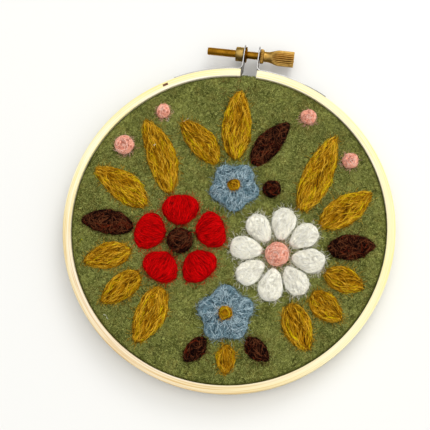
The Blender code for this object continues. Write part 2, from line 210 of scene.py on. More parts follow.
# Both rings are strips of pale bamboo, planed square, steamed and bent round, with sanded
# corners. Their grain runs round the hoop. The outer one is open at the screw.
STRIP_WALL = 3.3 * MM
STRIP_EASE = 0.22 * MM
STRIP_STEPS = 264
SMOOTH_ANGLE = math.radians(35)  # edges sharper than this stay sharp
RING_RADIUS = outer_high.x
RING_GAP = 6.8 * MM
BAMBOO_HIGHLIGHT = (0.81, 0.76, 0.66, 1)
BAMBOO_LIGHT = (0.80, 0.74, 0.54, 1)
BAMBOO_LEMON = (0.79, 0.685, 0.25, 1)
BAMBOO_TAN = (0.54, 0.30, 0.06, 1)
BAMBOO_DARK = (0.11, 0.03, 0.005, 1)
BAMBOO_END = (0.26, 0.205, 0.135, 1)
# Painted shade: the strip and its grain lines are painted browner round this side.
SHADED_TAN_SIDE = math.radians(246)  # from +X, anticlockwise: the strip is browner round there
# Painted shade: the strip is painted yellower and a little darker round this side.
LEMON_SHADE_SIDE = math.radians(330)
KNOT_PLACE = math.radians(31.2)  # anticlockwise from the screw
KNOT_RADIUS = RING_RADIUS - 1.35 * MM
KNOT_HALF = (1.25 * MM, 0.62 * MM)  # half its length along the grain, half its width
# Painted highlight: the inner part of the ring's face is painted paler.
INNER_HIGHLIGHT_SPAN = (2.7 * MM, 1.4 * MM)  # pale from this deep inwards, not at all from this outwards


def bamboo_finish():
    """Bamboo whose fibres run round the hoop: positions are arc length, radius and height."""
    f = Finish("bamboo", 0.5, Specular_IOR_Level=0.35)
    centred = f.vector("SUBTRACT", f.place(), (0, HOOP_Y, 0))
    x, y, z = f.parts(centred)
    radius = f.vector("LENGTH", f.joined(x, y), output="Value")
    angle = f.calc("ARCTAN2", x, f.calc("MULTIPLY", y, -1.0))
    arc = f.calc("MULTIPLY", angle, RING_RADIUS)
    grain = f.joined(arc, radius, z)

    def streaks(along, across, roughness=0.5):
        """Noise drawn out along the grain."""
        place = f.vector("MULTIPLY", grain, (along, across, across))
        return f.noise(place, 1.0, 2.0, roughness)

    def facing(bearing):
        """1 on this side of the hoop, 0 a quarter turn away."""
        way = (math.cos(bearing) / RING_RADIUS, math.sin(bearing) / RING_RADIUS, 0)
        return f.vector("DOT_PRODUCT", centred, way, output="Value")

    def near(value, middle, half, edge):
        """1 within half of the middle, and 0 outside it."""
        off = f.calc("ABSOLUTE", f.calc("SUBTRACT", value, middle))
        return f.ranged(off, half * edge, half, 1.0, 0.0)

    fibres = streaks(22, 2500, 0.6)
    hairline = streaks(160, 8000, 0.6)
    lines = f.calc("MULTIPLY", f.ranged(fibres, 0.48, 0.60),
                   f.ranged(streaks(9, 120), 0.35, 0.65, 0.45, 1.0))
    # Painted shade: the strip and its grain lines are browner on this side of the hoop.
    shaded_tan_side = facing(SHADED_TAN_SIDE)
    line_colour = f.layered(BAMBOO_LEMON, (f.ranged(shaded_tan_side, 0.0, 0.9), BAMBOO_TAN))
    knot_angle = math.atan2(-math.sin(KNOT_PLACE), -math.cos(KNOT_PLACE))
    in_knot = f.calc("MULTIPLY", near(arc, knot_angle * RING_RADIUS, KNOT_HALF[0], 0.85),
                     near(radius, KNOT_RADIUS, KNOT_HALF[1], 0.7))
    inside = [RING_RADIUS - depth for depth in INNER_HIGHLIGHT_SPAN]
    colour = f.layered(
        BAMBOO_LIGHT,
        # painted highlight on the inner part of the face
        (f.ranged(radius, *inside, 0.7, 0.0), BAMBOO_HIGHLIGHT),
        (f.ranged(streaks(14, 300), 0.3, 0.7, 0.0, 0.4), BAMBOO_LEMON),
        (f.ranged(facing(LEMON_SHADE_SIDE), 0.4, 1.0, 0.0, 0.3), BAMBOO_LEMON),
        (f.ranged(shaded_tan_side, 0.3, 0.95, 0.0, 0.26), BAMBOO_TAN),
        (lines, line_colour),
        (f.ranged(hairline, 0.60, 0.72, 0.0, 0.30), BAMBOO_TAN),
        (in_knot, BAMBOO_DARK),
    )
    height = f.calc("ADD", fibres, f.calc("MULTIPLY", hairline, 0.5))
    return f.done(colour, height, 0.35, 0.08 * MM)


def end_edit(merge=0.0, fill=False):
    """Leaves edit mode, with doubles merged, holes filled and every face turned outwards."""
    bpy.ops.mesh.select_all(action="SELECT")
    if merge:
        bpy.ops.mesh.remove_doubles(threshold=merge)
    if fill:
        bpy.ops.mesh.fill_holes(sides=0)
    bpy.ops.mesh.select_all(action="SELECT")
    bpy.ops.mesh.normals_make_consistent(inside=False)
    bpy.ops.object.mode_set(mode="OBJECT")


def bent_strip(name, radius, low, high, gap, finishes):
    """A strip bent round the hoop: a square section, its corners rounded, spun round."""
    half_gap = math.asin(gap / 2 / (radius - STRIP_WALL / 2))
    start = math.pi / 2 + half_gap
    middle = radius - STRIP_WALL / 2
    bpy.ops.mesh.primitive_plane_add(
        size=1, rotation=(math.pi / 2, 0, start),
        location=(middle * math.cos(start), HOOP_Y + middle * math.sin(start), (low + high) / 2),
    )
    strip = bpy.context.object
    strip.name = name
    strip.scale = (STRIP_WALL, high - low, 1)
    bpy.ops.object.transform_apply()
    bpy.ops.object.mode_set(mode="EDIT")
    bpy.ops.mesh.bevel(offset=STRIP_EASE, segments=4, affect="VERTICES")
    bpy.ops.mesh.delete(type="ONLY_FACE")
    bpy.ops.mesh.select_all(action="SELECT")
    bpy.ops.mesh.spin(
        steps=STRIP_STEPS, angle=-(2 * math.pi - 2 * half_gap), center=(0, HOOP_Y, 0),
        axis=(0, 0, 1),
    )
    end_edit(merge=0.001 * MM, fill=True)
    bpy.ops.object.shade_smooth_by_angle(angle=SMOOTH_ANGLE)
    for material in finishes:
        strip.data.materials.append(material)
    for face in strip.data.polygons:
        face.material_index = int(len(face.vertices) > 4)  # its sawn ends
    strip.select_set(False)
    return strip


bamboo_end = Finish("bamboo_end", 0.7, Base_Color=BAMBOO_END).material
bamboo = (bamboo_finish(), bamboo_end)
outer_strip = bent_strip(
    "outer_strip", RING_RADIUS, outer_low.z, outer_high.z, RING_GAP, bamboo
)
inner_strip = bent_strip("inner_strip", inner_high.x, inner_low.z, inner_high.z, 0, bamboo)
for strip, strip_node in ((outer_strip, "outer_ring"), (inner_strip, "inner_ring")):
    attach(strip, "hoop")
    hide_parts(strip_node)

# The ground is olive wool felt, cut as a disc, pulled over the inner ring and turned down
# between the rings. Where the outer ring is open it swells out a little.
felt_low, felt_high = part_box("felt_ground")
TOUCH = 0.02 * MM  # between things that touch
FELT_THICKNESS = 1.3 * MM
FELT_OUTER_TURN = 1.3 * MM
FELT_INNER_TURN = 0.3 * MM
FELT_HEM_EASE = 0.3 * MM
FELT_RADIUS = RING_RADIUS - STRIP_WALL - TOUCH
FELT_INNER_RADIUS = felt_high.x - FELT_THICKNESS
FELT_FACE = felt_high.z
FELT_SWELL = 0.6 * MM
# Painted shade: the felt is painted darker in the crease by the outer ring.
FELT_CREASE_SHADE = (1.3 * MM, 0.5 * MM)  # it grows darker from and up to this far from the ring
FELT_DARK = (0.032, 0.038, 0.005, 1)
FELT_MAIN = (0.160, 0.172, 0.035, 1)
FELT_LIGHT = (0.40, 0.42, 0.12, 1)
FELT_BROWN = (0.165, 0.113, 0.024, 1)
FELT_SIDES = 240
GAP_SIDES = 31  # more of them where the felt swells out


def felt_section():
    """The felt's section, from the middle of its face round its hem to the middle below."""
    def corner(wall_radius, face_height, turn, angles):
        return [(wall_radius - turn * (1 - math.sin(angle)),
                 face_height - turn * (1 - math.cos(angle))) for angle in angles]

    angles = np.linspace(0, math.pi / 2, 6)
    flat = FELT_RADIUS - FELT_OUTER_TURN
    underside = FELT_FACE - FELT_THICKNESS
    hem = felt_low.z
    rows = [(flat * share, FELT_FACE) for share in np.linspace(0, 1, 28)[1:-1]]
    rows += corner(FELT_RADIUS, FELT_FACE, FELT_OUTER_TURN, angles)
    rows += [(FELT_RADIUS, height) for height in np.linspace(
        FELT_FACE - FELT_OUTER_TURN, hem + FELT_HEM_EASE, 7)[1:]]
    rows += [(FELT_RADIUS - FELT_HEM_EASE, hem), (FELT_INNER_RADIUS + FELT_HEM_EASE, hem),
             (FELT_INNER_RADIUS, hem + FELT_HEM_EASE)]
    rows += corner(FELT_INNER_RADIUS, underside, FELT_INNER_TURN, angles[::-1])
    rows += [(FELT_INNER_RADIUS * share, underside) for share in (0.97, 0.8, 0.55, 0.3, 0.1)]
    return rows


def felt_finish():
    """Matted olive fibre: tufted tone, winding paler and darker hairs, small pits painted dark as shade, and
    painted shade in the crease by the ring.
    """
    f = Finish("felt_olive", 0.95, Specular_IOR_Level=0.05, Sheen_Weight=0.12,
               Sheen_Roughness=0.6, Sheen_Tint=FELT_LIGHT)
    place = f.place()

    def hairs(scale, offset, width):
        """Thin winding lines, along which a noise passes through its middle value."""
        wave = f.noise(f.vector("ADD", place, (offset,) * 3), scale, 2.0, 0.55, 0.8)
        return f.ranged(f.calc("ABSOLUTE", f.calc("SUBTRACT", wave, 0.5)), 0.0, width, 1.0, 0.0)

    clouds = f.noise(place, 95, 4.0)
    pits = f.noise(place, 1900)
    pale = f.calc("MAXIMUM", hairs(620, 0.0, 0.022), hairs(980, 0.31, 0.028))
    dark = f.calc("MAXIMUM", hairs(700, 0.17, 0.030), hairs(1300, 0.53, 0.035))
    plan = f.vector("MULTIPLY_ADD", place, (1, 1, 0), (0, -HOOP_Y, 0))
    x, y, _ = f.parts(plan)
    by_ring = f.calc(  # not in the gap
        "MAXIMUM", f.ranged(y, 0.0, MM, 1.0, 0.0),
        f.ranged(f.calc("ABSOLUTE", x), RING_GAP / 2 - MM, RING_GAP / 2),
    )
    # Painted shade: darker in the crease by the outer ring, but not in its gap.
    crease_shade_span = [FELT_RADIUS - depth for depth in FELT_CREASE_SHADE]
    crease_shade = f.ranged(f.vector("LENGTH", plan, output="Value"), *crease_shade_span, 0.0, 0.6)
    colour = f.layered(
        FELT_MAIN,
        (f.ranged(clouds, 0.40, 0.62, 0.0, 0.75), FELT_DARK),
        (f.ranged(f.noise(place, 260), 0.45, 0.65, 0.0, 0.4), FELT_BROWN),
        (f.ranged(f.noise(place, 720), 0.36, 0.64, 0.0, 0.62), FELT_DARK),  # tufts
        (f.calc("MULTIPLY", dark, 0.6), FELT_DARK),
        (f.calc("MULTIPLY", pale, 0.8), FELT_LIGHT),
        # Painted shade in the small pits, which the bump also sinks.
        (f.ranged(pits, 0.55, 0.70, 0.0, 0.7), FELT_DARK),
        (f.calc("MULTIPLY", crease_shade, by_ring), FELT_DARK),
    )
    height = f.calc("SUBTRACT", f.calc("ADD", pale, clouds), pits)
    return f.done(colour, height, 0.6, 0.15 * MM)


def felt_lift(x, y):
    """How far the felt's face is from flat at a place measured from the hoop's centre."""
    slow = noise.noise(Vector((x, y, 0)) / (17 * MM))
    quick = noise.noise(Vector((x, y, 9)) / (3.5 * MM))
    return (0.035 * slow + 0.02 * quick) * MM


def gap_swell(x, y):
    """How far the felt swells out at a place in the outer ring's gap."""
    reach = abs(x) / (RING_GAP / 2 - 0.15 * MM)
    return FELT_SWELL * (1 - reach**4) if y > 0 and reach < 1 else 0


felt_mesh = bpy.data.meshes.new("felt")
around = np.unique(np.round(np.concatenate((
    np.linspace(0, 2 * math.pi, FELT_SIDES + 1)[:-1],
    math.pi / 2 + np.linspace(-0.06, 0.06, GAP_SIDES),
)), 6))
sides = len(around)
felt_points = [(0, HOOP_Y, FELT_FACE)]
felt_faces = []
felt_rows = felt_section()
for row, (row_radius, row_height) in enumerate(felt_rows):
    above = row_height > FELT_FACE - 0.5 * FELT_THICKNESS
    outside = max(0, (row_radius - 0.95 * FELT_RADIUS) / (0.05 * FELT_RADIUS))
    flatness = min(1, (FELT_RADIUS - row_radius) / (4 * MM)) if above else 0
    for place, angle in enumerate(around):
        x, y = row_radius * math.cos(angle), row_radius * math.sin(angle)
        radius = row_radius + gap_swell(x, y) * outside
        felt_points.append((
            radius * math.cos(angle), HOOP_Y + radius * math.sin(angle),
            row_height + felt_lift(x, y) * flatness,
        ))
        first, after = 1 + row * sides + place, 1 + row * sides + (place + 1) % sides
        if row == 0:
            felt_faces.append((0, first, after))
        else:
            felt_faces.append((first - sides, first, after, after - sides))
felt_points.append((0, HOOP_Y, FELT_FACE - FELT_THICKNESS))
last_row = len(felt_points) - 1 - sides
felt_faces += [(last_row + place, len(felt_points) - 1, last_row + (place + 1) % sides)
               for place in range(sides)]
felt_mesh.from_pydata(felt_points, [], felt_faces)
felt = added("felt_disc", felt_mesh)
felt_mesh.materials.append(felt_finish())
felt_mesh.shade_smooth()
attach(felt, "hoop")
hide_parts("felt_ground")

# The felt's nap is short crimped wool that lies over its face and laps over its turned edge,
# with a few yellower fibres among it and longer hairs standing out in the ring's gap.
NAP_COUNT = 14600
NAP_SEED = 5
NAP_POINTS = 4
NAP_LENGTH = (1.0, 3.6)  # mm
NAP_HALF_WIDTH = (0.035, 0.115)  # mm
NAP_BEND = 0.6
NAP_ARCH = (1.5, 0.08)  # shape and scale of how high the fibres stand, in mm
NAP_STREAKED = 0.04  # this share of it is yellower
NAP_STREAK_MIX = 0.8
NAP_STREAK = (0.36, 0.37, 0.08, 1)
TUFT = 1.1 * MM
PATCH = 7 * MM  # broad lighter and darker patches
TUFT_TONE, PATCH_TONE, FIBRE_TONE = 0.22, 0.45, 0.40  # how much the tone varies by each
# Painted shade: the nap is darker in the crease by the outer ring.
CREASE_SHADE_TONE = 0.45  # how much darker it is in the crease by the outer ring
GAP_NAP_COUNT = 360
GAP_NAP_LENGTH = (0.9, 2.3)  # mm
GAP_NAP_BEND = 0.4
GAP_NAP_TURN = 0.9  # how much they stray from pointing straight out
GAP_NAP_LIFT = 0.12  # mm
GAP_ROOTS = (-1.2, 0.3)  # mm beyond the felt's edge
GAP_TONE = 0.2  # how much paler it is there


def headed(angle):
    """Unit vectors in plan on these headings."""
    return np.stack((np.cos(angle), np.sin(angle)), axis=-1)


def raised(plan, heights):
    """Plan paths, given these heights."""
    return np.concatenate((plan, heights[..., None]), axis=2)


def waver(x, y, seed):
    """Smooth noise from -1 to 1 over a plane, for arrays of places."""
    column, row = np.floor(x), np.floor(y)
    u, v = x - column, y - row
    u, v = u * u * (3 - 2 * u), v * v * (3 - 2 * v)

    def corner(i, j):
        return np.modf(np.abs(np.sin(i * 127.1 + j * 311.7 + seed * 74.7)) * 43758.5453)[0]

    low = corner(column, row) * (1 - u) + corner(column + 1, row) * u
    high = corner(column, row + 1) * (1 - u) + corner(column + 1, row + 1) * u
    return 2 * (low * (1 - v) + high * v) - 1


def strand_shape(paths, half_widths, flatness):
    """Thin closed fibres, three sides round and pointed at both ends: points and triangles.

    paths is (fibres, points, 3), and half_widths has one value for each fibre.
    """
    count, points = paths.shape[:2]
    along = np.gradient(paths, axis=1)
    along /= np.linalg.norm(along, axis=2, keepdims=True) + 1e-12
    side = np.cross(along, (0.03, 0.02, 1.0))
    side /= np.linalg.norm(side, axis=2, keepdims=True) + 1e-12
    rise = np.cross(side, along)
    taper = np.sin(np.linspace(0, math.pi, points))[1:-1] ** 0.45
    reach = (half_widths[:, None] * taper)[..., None]
    sides = [
        paths[:, 1:-1] + reach * (side[:, 1:-1] * math.cos(turn)
                                  + rise[:, 1:-1] * math.sin(turn) * flatness)
        for turn in math.pi / 2 + 2 * math.pi / 3 * np.arange(3)
    ]
    rings = np.stack(sides, axis=2).reshape(count, -1, 3)
    corners = np.concatenate((paths[:, :1], rings, paths[:, -1:]), axis=1)
    last = 3 * (points - 2) + 1
    faces = []
    for k in range(3):
        n = (k + 1) % 3
        faces.append((0, 1 + k, 1 + n))
        faces.append((last, last - 3 + n, last - 3 + k))
        for ring in range(points - 3):
            a, b = 1 + 3 * ring + k, 1 + 3 * ring + n
            faces += [(a, a + 3, b + 3), (a, b + 3, b)]
    starts = (last + 1) * np.arange(count)
    triangles = (np.array(faces)[None] + starts[:, None, None]).reshape(-1, 3)
    return corners.reshape(-1, 3), triangles


def extend(items, key, new, size=1):
    """Adds items of a mesh with these values, and keeps those that are there."""
    kept = np.empty(len(items) * size, new.dtype)
    items.foreach_get(key, kept)
    items.add(len(new) // size)
    items.foreach_set(key, np.concatenate((kept, new)))


def set_shade(mesh, name, values):
    """Keeps one number for each point, which the material reads by this name."""
    attribute = mesh.attributes.new(name, "FLOAT", "POINT")
    attribute.data.foreach_set("value", np.asarray(values, np.float32))


def add_fibres(mesh, flatness, fibre_sets, under=()):
    """Adds fibres to a mesh: sets of (paths, half widths, tints, streaks).

    A tint and a streak go with each fibre, or with each point of its path. The points that
    the mesh already has take their tints from under, and have no streaks.
    """
    tints, streaks = [under], [np.zeros(len(under))]
    for paths, half_widths, *shades in fibre_sets:
        points, triangles = strand_shape(paths, half_widths, flatness)
        first_point, first_corner = len(mesh.vertices), len(mesh.loops)
        extend(mesh.vertices, "co", points.ravel().astype(np.float32), 3)
        extend(mesh.loops, "vertex_index", (triangles.ravel() + first_point).astype(np.int32))
        starts = first_corner + 3 * np.arange(len(triangles))
        extend(mesh.polygons, "loop_start", starts.astype(np.int32))
        for values, shade in zip((tints, streaks), shades):
            shade = np.broadcast_to(shade.reshape(len(paths), -1), paths.shape[:2])
            values.append(np.concatenate((  # three points stand round each inner one
                shade[:, :1], np.repeat(shade[:, 1:-1], 3, axis=1), shade[:, -1:],
            ), axis=1).ravel())
    mesh.update(calc_edges=True)
    mesh.shade_smooth()
    set_shade(mesh, "tint", np.concatenate(tints))
    set_shade(mesh, "streak", np.concatenate(streaks))


def crimped_paths(rng, starts, headings, lengths, bend, points):
    """Plan paths of fibres that leave their starts on these headings and bend as they go."""
    steady = rng.normal(0, bend, (len(starts), 1))
    wander = rng.normal(0, bend * 0.7, (len(starts), points - 1))
    turns = headings[:, None] + np.cumsum(steady + wander, axis=1)
    steps = (lengths / (points - 1))[:, None, None] * headed(turns)
    return np.concatenate(
        (starts[:, None], starts[:, None] + np.cumsum(steps, axis=1)), axis=1)


def onto_felt(plan, lift):
    """Plan paths from the hoop's centre, laid on the felt's face and round its turned edge."""
    radius = np.linalg.norm(plan, axis=2)
    over = np.clip(radius - FELT_RADIUS + FELT_OUTER_TURN, 0, FELT_OUTER_TURN * 0.98)
    height = FELT_FACE - (FELT_OUTER_TURN - np.sqrt(FELT_OUTER_TURN**2 - over**2))
    kept = plan * (np.minimum(radius, FELT_RADIUS - TOUCH) / (radius + 1e-9))[..., None]
    return raised(kept + (0, HOOP_Y), height + lift)


def fibre_finish(name, deep, main, light, streak, sheen):
    """Wool fibre: its tint runs from deep to light, and streak mixes a second colour in."""
    f = Finish(name, 0.85, Specular_IOR_Level=0.05, Sheen_Weight=sheen, Sheen_Roughness=0.5,
               Sheen_Tint=light)
    ramp = f.put("ValToRGB", {0: f.attribute("tint")})
    ramp.color_ramp.elements[0].color = deep
    ramp.color_ramp.elements[1].color = light
    ramp.color_ramp.elements.new(0.5).color = main
    hair = f.noise(f.place(), 2600)
    colour = f.layered(ramp.outputs[0], (f.attribute("streak"), streak),
                       (f.ranged(hair, 0.35, 0.75, 0.0, 0.4), deep))
    return f.done(colour, hair, 0.4, 0.05 * MM)


def fibre_piece(name, paths, half_widths, tints, streaks, finish):
    """A piece of loose fibres that lie on the hoop."""
    mesh = bpy.data.meshes.new(name)
    add_fibres(mesh, 0.7, [(paths, half_widths, tints, streaks)])
    mesh.materials.append(finish)
    piece = added(name, mesh)
    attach(piece, "hoop")


nap_random = np.random.default_rng(NAP_SEED)
nap_radius = (FELT_RADIUS - 0.2 * MM) * np.sqrt(nap_random.uniform(0, 1, NAP_COUNT))
nap_angle = nap_random.uniform(0, 2 * math.pi, NAP_COUNT)
nap_plan = crimped_paths(
    nap_random, nap_radius[:, None] * headed(nap_angle),
    nap_random.uniform(0, 2 * math.pi, NAP_COUNT),
    nap_random.uniform(*NAP_LENGTH, NAP_COUNT) * MM, NAP_BEND, NAP_POINTS,
)
nap_bow = np.sin(np.linspace(0, math.pi, NAP_POINTS))
nap_arch = nap_bow * nap_random.gamma(*NAP_ARCH, (NAP_COUNT, 1)) * MM
nap_paths = onto_felt(nap_plan, nap_arch + TOUCH)

gap_half = RING_GAP / 2 - 0.2 * MM
gap_starts = np.stack((nap_random.uniform(-gap_half, gap_half, GAP_NAP_COUNT),
                       nap_random.uniform(*GAP_ROOTS, GAP_NAP_COUNT) * MM + FELT_RADIUS), axis=1)
gap_plan = crimped_paths(
    nap_random, gap_starts, nap_random.normal(math.pi / 2, GAP_NAP_TURN, GAP_NAP_COUNT),
    nap_random.uniform(*GAP_NAP_LENGTH, GAP_NAP_COUNT) * MM, GAP_NAP_BEND, NAP_POINTS,
)
gap_plan[..., 0] = np.clip(gap_plan[..., 0], -gap_half, gap_half)
gap_over = np.clip(np.linalg.norm(gap_plan, axis=2) - FELT_RADIUS + FELT_OUTER_TURN, 0, None)
gap_heights = FELT_FACE - gap_over**2 / (4 * MM)
gap_heights += nap_random.normal(0, GAP_NAP_LIFT, (GAP_NAP_COUNT, 1)) * MM
nap_paths = np.concatenate((nap_paths, raised(gap_plan + (0, HOOP_Y), gap_heights)))

nap_roots = nap_paths[:, 0, :2].T
nap_tints = (0.5 + TUFT_TONE * waver(*nap_roots / TUFT, 2.0)
             + PATCH_TONE * waver(*nap_roots / PATCH, 6.0)
             + nap_random.normal(0, FIBRE_TONE, len(nap_paths)))
in_gap = (np.abs(nap_plan[:, 0, 0]) < RING_GAP / 2) & (nap_plan[:, 0, 1] > 0)
# Painted shade in the crease by the outer ring, except in its gap.
nap_tints[:NAP_COUNT] -= CREASE_SHADE_TONE * ~in_gap * np.clip(
    (nap_radius - FELT_RADIUS + FELT_CREASE_SHADE[0]) / (FELT_CREASE_SHADE[0] - FELT_CREASE_SHADE[1]), 0, 1)
nap_tints[NAP_COUNT:] += GAP_TONE
fibre_piece(
    "felt_nap", nap_paths, nap_random.uniform(*NAP_HALF_WIDTH, len(nap_paths)) * MM,
    np.clip(nap_tints, 0, 1),
    (nap_random.uniform(0, 1, len(nap_paths)) < NAP_STREAKED) * NAP_STREAK_MIX,
    fibre_finish("felt_nap_olive", FELT_DARK, FELT_MAIN, FELT_LIGHT, NAP_STREAK, 0.05),
)

# The straps are thin plated steel, wrapped round the outside of the outer ring and bent out
# into lugs at its gap. Each lug is rounded and has the screw's hole through it.
joint = frame["joints"][0]
SCREW_Y, SCREW_Z = joint["pos_m"][1], joint["pos_m"][2]
strap_low, strap_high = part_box("strap_right")
STRAP_THICKNESS = 0.4 * MM
STRAP_RADIUS = RING_RADIUS + 0.05 * MM + STRAP_THICKNESS / 2  # it is nailed up close
STRAP_STEPS = (28, 12)  # along the ring, and round the bend
STRAP_REACH = {"strap_left": math.radians(27.3), "strap_right": math.radians(29.3)}
LUG_X = 3.1 * MM
LUG_BEND = 1.9 * MM
LUG_CORNER = 3.7 * MM
HOLE_RADIUS = {"strap_left": 2.6 * MM, "strap_right": 1.9 * MM}
STEEL = (0.40, 0.39, 0.375, 1)
STEEL_DULL = (0.24, 0.23, 0.215, 1)
STEEL_SHADE = (0.10, 0.10, 0.09, 1)
# Painted shade: the right strap is painted darker towards its end.
STRAP_END_SHADE_X = (20 * MM, 30 * MM)  # the right strap grows darker towards its end


def steel_finish():
    """Bright plated steel with fine rolling marks, a few dull patches, and painted shade towards the right strap's
    end.
    """
    f = Finish("plated_steel", 0.32, Metallic=1.0)
    place = f.place()
    marks = f.noise(f.vector("MULTIPLY", place, (600, 600, 9000)), 1.0, 3.0)
    patches = f.noise(place, 500, 3.0)
    colour = f.layered(
        STEEL,
        (f.ranged(patches, 0.45, 0.75, 0.0, 0.35), STEEL_DULL),
        # painted shade towards the right strap's end
        (f.ranged(f.parts(place)[0], *STRAP_END_SHADE_X, 0.0, 0.85), STEEL_SHADE),
    )
    f.feed("Roughness", f.ranged(patches, 0.3, 0.7, 0.24, 0.42))
    return f.done(colour, marks, 0.25, 0.02 * MM)


def apply_all(piece):
    bpy.context.view_layer.objects.active = piece
    for modifier in list(piece.modifiers):
        bpy.ops.object.modifier_apply(modifier=modifier.name)


def edges_eased(piece, width, angle):
    """Applies the piece's modifiers, then a bevel of edges sharper than this angle."""
    edge = piece.modifiers.new("edge", "BEVEL")
    edge.width = width
    edge.segments = 2
    edge.angle_limit = math.radians(angle)
    apply_all(piece)
    bpy.ops.object.select_all(action="DESELECT")
    piece.select_set(True)
    bpy.ops.object.shade_smooth_by_angle(angle=SMOOTH_ANGLE)
    piece.select_set(False)


def bent_strap(name, side, finish):
    """A strap: an upright edge spun along the ring, spun outwards at the bend and drawn out."""
    reach = STRAP_REACH[name]
    bend_x = LUG_X + LUG_BEND
    bend_y = math.sqrt((STRAP_RADIUS + LUG_BEND) ** 2 - bend_x**2)
    bend_start = math.asin(bend_x / (STRAP_RADIUS + LUG_BEND))
    bpy.ops.mesh.primitive_plane_add(size=1, location=(0, 0, 0), rotation=(math.pi / 2, 0, 0))
    strap = bpy.context.object
    strap.name = name
    strap.scale = (0.01 * MM, strap_high.z - strap_low.z, 1)
    strap.location = (
        side * STRAP_RADIUS * math.sin(reach),
        HOOP_Y + STRAP_RADIUS * math.cos(reach),
        (strap_low.z + strap_high.z) / 2,
    )
    bpy.ops.object.transform_apply()
    bpy.ops.object.mode_set(mode="EDIT")
    bpy.ops.mesh.remove_doubles(threshold=0.05 * MM)
    bpy.ops.mesh.spin(steps=STRAP_STEPS[0], angle=-side * (reach - bend_start),
                      center=(0, HOOP_Y, 0), axis=(0, 0, 1))
    bpy.ops.mesh.spin(steps=STRAP_STEPS[1], angle=side * (math.pi / 2 - bend_start),
                      center=(side * bend_x, HOOP_Y + bend_y, 0), axis=(0, 0, 1))
    rise = strap_high.y - (HOOP_Y + bend_y)
    for _ in range(2):
        bpy.ops.mesh.extrude_region_move(TRANSFORM_OT_translate={"value": (0, rise / 2, 0)})
    bpy.ops.mesh.bevel(offset=LUG_CORNER, segments=10, affect="VERTICES")
    end_edit()
    wall = strap.modifiers.new("wall", "SOLIDIFY")
    wall.thickness = STRAP_THICKNESS
    wall.offset = 0
    bpy.ops.mesh.primitive_cylinder_add(
        vertices=40, radius=HOLE_RADIUS[name], depth=3 * MM,
        location=(side * LUG_X, SCREW_Y, SCREW_Z), rotation=(0, math.pi / 2, 0),
    )
    drill = bpy.context.object
    hole = strap.modifiers.new("hole", "BOOLEAN")
    hole.object = drill
    edges_eased(strap, 0.07 * MM, 40)
    bpy.data.objects.remove(drill)
    strap.data.materials.append(finish)
    return strap


plated_steel = steel_finish()
for strap_node, strap_side in (("strap_left", -1), ("strap_right", 1)):
    strap = bent_strap(strap_node, strap_side, plated_steel)
    strap.name = strap_node + "_steel"
    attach(strap, "hoop")
    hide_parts(strap_node)

# The nut is turned brass: a barrel outside the left lug, a neck through its hole and a thin
# collar inside, spread over so that it can't come out. The screw runs through its bore.
nut_low, nut_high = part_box("nut")
NUT_BARREL_RADIUS = 3.0 * MM
NUT_COLLAR_RADIUS = 3.3 * MM
NUT_NECK_RADIUS = 2.3 * MM
NUT_BORE_RADIUS = 1.8 * MM
NUT_BARREL_LENGTH = 3.2 * MM
NUT_BRASS = (0.34, 0.222, 0.062, 1)
BRASS_DULL = (0.55, 0.49, 0.36, 1)  # these two multiply the tone of the brass
BRASS_BRIGHT = (1.30, 1.45, 1.90, 1)
# Painted shade in the screw's grooves and on the nut's collar; it also darkens the flange and waist.
BRASS_DARKENED = (0.10, 0.035, 0.001, 1)
BRASS_EDGE = (1.0, 0.72, 0.30, 1)


def brass_finish(name, brass):
    """Brass of this tone: turning lines round the axis, tarnish, and a darker colour where points have it, as
    painted shade and darkening.
    """
    f = Finish(name, 0.42, Metallic=1.0, Specular_Tint=BRASS_EDGE)
    dull, bright = (tuple(part * factor for part, factor in zip(brass, change))
                    for change in (BRASS_DULL, BRASS_BRIGHT))
    place = f.place()
    lines = f.noise(f.vector("MULTIPLY", place, (9000, 700, 700)), 1.0)
    tarnish = f.noise(place, 420, 4.0, 0.65)
    colour = f.layered(
        brass,
        (f.ranged(tarnish, 0.42, 0.68, 0.0, 0.75), dull),
        (f.ranged(lines, 0.55, 0.75, 0.0, 0.5), bright),
        # painted shade and darkening, where the points have them
        (f.attribute("dirt"), BRASS_DARKENED),
    )
    f.feed("Roughness", f.ranged(tarnish, 0.3, 0.7, 0.27, 0.43))
    return f.done(colour, lines, 0.3, 0.02 * MM)


def turned(name, rows, sides, bored, bevel_width):
    """Brass turned about the screw's axis: a circle drawn out and resized from row to row."""
    (x, radius), *later = rows
    bpy.ops.mesh.primitive_circle_add(
        vertices=sides, radius=radius, fill_type="NOTHING" if bored else "NGON",
        location=(x, SCREW_Y, SCREW_Z), rotation=(0, math.pi / 2, 0),
    )
    piece = bpy.context.object
    piece.name = name
    bpy.ops.object.transform_apply()
    bpy.ops.object.mode_set(mode="EDIT")
    for next_x, next_radius in later:
        bpy.ops.mesh.extrude_region_move(
            TRANSFORM_OT_translate={"value": (next_x - x, 0, 0)})
        bpy.ops.transform.resize(
            value=(1, next_radius / radius, next_radius / radius),
            center_override=(next_x, SCREW_Y, SCREW_Z),
        )
        x, radius = next_x, next_radius
    end_edit(merge=0.002 * MM)
    edges_eased(piece, bevel_width, 28)
    return piece


